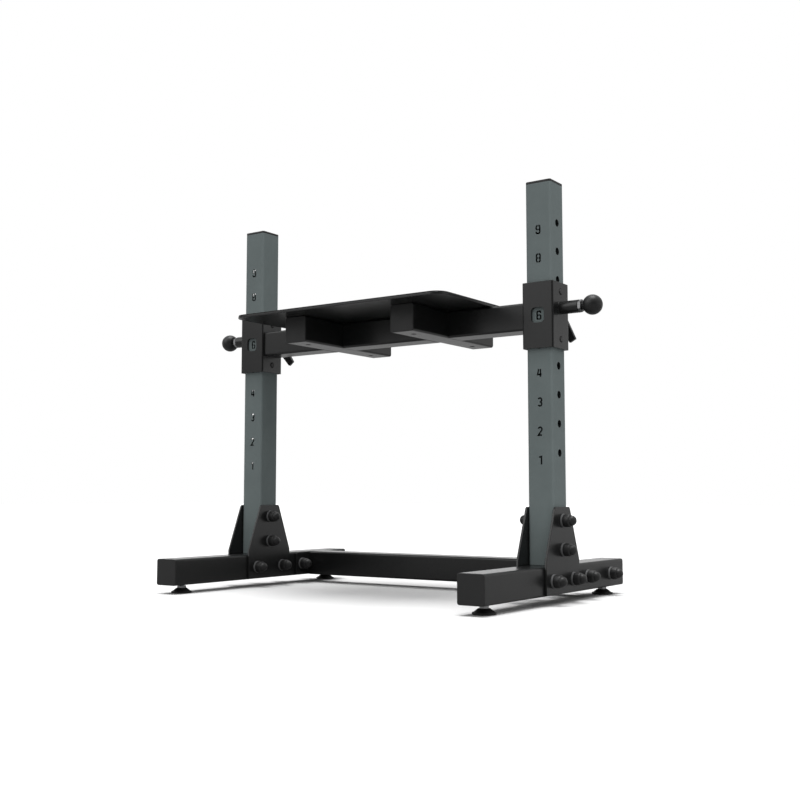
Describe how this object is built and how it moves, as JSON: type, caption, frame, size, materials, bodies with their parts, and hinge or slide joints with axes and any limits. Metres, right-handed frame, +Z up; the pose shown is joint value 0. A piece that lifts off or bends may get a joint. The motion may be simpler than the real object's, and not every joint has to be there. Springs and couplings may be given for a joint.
{
  "type": "adjustable step-up platform",
  "caption": "Step-up platform: a deck on sleeves that slide along numbered uprights, locked by spring pull pins and clamp levers, on a bolted base with levelling feet.",
  "frame": {"origin": "on the floor, midway between the uprights and midway along the foot tubes", "axes": "+X along the platform beam to the upright that is nearer in the picture, +Y towards the rear cross tube, +Z up"},
  "size_m": [1.076, 0.63, 0.8986],
  "materials": {
    "grey_powder_coat": "satin powder coat",
    "black_powder_coat": "satin powder coat",
    "black_plastic": "moulded, fine grain",
    "black_knob": "smooth",
    "black_rubber": "matt",
    "bright_zinc": "bright zinc plate",
    "liner_plastic": "smooth"
  },
  "bodies": {
    "frame": {"foot_tube_left": "black_powder_coat", "upright_left": "grey_powder_coat", "upright_cap_left": "black_plastic", "gusset_left_outer": "black_powder_coat", "gusset_left_inner": "black_powder_coat", "upright_bolt_left_lower": "black_plastic", "upright_bolt_left_upper": "black_plastic", "foot_tube_plug_left_front": "black_plastic", "foot_tube_plug_left_rear": "black_plastic", "foot_bolt_left_front": "black_plastic", "foot_bolt_left_rear": "black_plastic", "cross_tube_bolt_left_front": "black_plastic", "cross_tube_bolt_left_rear": "black_plastic", "foot_tube_right": "black_powder_coat", "upright_right": "grey_powder_coat", "upright_cap_right": "black_plastic", "gusset_right_outer": "black_powder_coat", "gusset_right_inner": "black_powder_coat", "upright_bolt_right_lower": "black_plastic", "upright_bolt_right_upper": "black_plastic", "foot_tube_plug_right_front": "black_plastic", "foot_tube_plug_right_rear": "black_plastic", "foot_bolt_right_front": "black_plastic", "foot_bolt_right_rear": "black_plastic", "cross_tube_bolt_right_front": "black_plastic", "cross_tube_bolt_right_rear": "black_plastic", "rear_cross_tube": "black_powder_coat"},
    "platform": {"sleeve_left": "black_powder_coat", "sleeve_liner_left": "liner_plastic", "pin_nut_left": "bright_zinc", "pin_spring_left": "bright_zinc", "platform_arm_left": "black_powder_coat", "arm_plug_left_front": "black_plastic", "arm_plug_left_rear": "black_plastic", "deck_bolt_left_front": "bright_zinc", "deck_bolt_left_rear": "bright_zinc", "sleeve_right": "black_powder_coat", "sleeve_liner_right": "liner_plastic", "pin_nut_right": "bright_zinc", "pin_spring_right": "bright_zinc", "platform_arm_right": "black_powder_coat", "arm_plug_right_front": "black_plastic", "arm_plug_right_rear": "black_plastic", "deck_bolt_right_front": "bright_zinc", "deck_bolt_right_rear": "bright_zinc", "platform_beam_left": "black_powder_coat", "platform_beam_middle": "black_powder_coat", "platform_beam_right": "black_powder_coat", "deck_plate": "black_powder_coat", "deck_mat": "black_rubber"},
    "pin_left": {"pull_pin_left": "bright_zinc", "ball_knob_left": "black_knob"},
    "clamp_left": {"clamp_lever_left": "black_knob"},
    "pin_right": {"pull_pin_right": "bright_zinc", "ball_knob_right": "black_knob"},
    "clamp_right": {"clamp_lever_right": "black_knob"},
    "foot_left_front": {"levelling_foot_left_front": "black_rubber"},
    "foot_left_rear": {"levelling_foot_left_rear": "black_rubber"},
    "foot_right_front": {"levelling_foot_right_front": "black_rubber"},
    "foot_right_rear": {"levelling_foot_right_rear": "black_rubber"}
  },
  "joints": [
    {"name": "platform_height", "type": "slide", "parent": "frame", "child": "platform", "axis": [0, 0, 1], "range_m": [-0.308, 0.1848]},
    {"name": "pin_slide_left", "type": "slide", "parent": "platform", "child": "pin_left", "axis": [-1, 0, 0], "range_m": [-0.005, 0.003], "stiffness_N_per_m": 600, "springref_m": -0.02, "deforming": ["pin_spring_left"]},
    {"name": "pin_slide_right", "type": "slide", "parent": "platform", "child": "pin_right", "axis": [1, 0, 0], "range_m": [-0.005, 0.003], "stiffness_N_per_m": 600, "springref_m": -0.02, "deforming": ["pin_spring_right"]},
    {"name": "clamp_turn_left", "type": "hinge", "parent": "platform", "child": "clamp_left", "pos_m": [-0.407, 0.0567, 0.6063], "axis": [0, 1, 0], "range_deg": [0, 180]},
    {"name": "clamp_turn_right", "type": "hinge", "parent": "platform", "child": "clamp_right", "pos_m": [0.407, 0.0567, 0.6063], "axis": [0, 1, 0], "range_deg": [0, 180]},
    {"name": "foot_height_left_front", "type": "slide", "parent": "frame", "child": "foot_left_front", "axis": [0, 0, -1], "range_m": [-0.0025, 0.012]},
    {"name": "foot_height_left_rear", "type": "slide", "parent": "frame", "child": "foot_left_rear", "axis": [0, 0, -1], "range_m": [-0.0025, 0.012]},
    {"name": "foot_height_right_front", "type": "slide", "parent": "frame", "child": "foot_right_front", "axis": [0, 0, -1], "range_m": [-0.0025, 0.012]},
    {"name": "foot_height_right_rear", "type": "slide", "parent": "frame", "child": "foot_right_rear", "axis": [0, 0, -1], "range_m": [-0.0025, 0.012]}
  ]
}
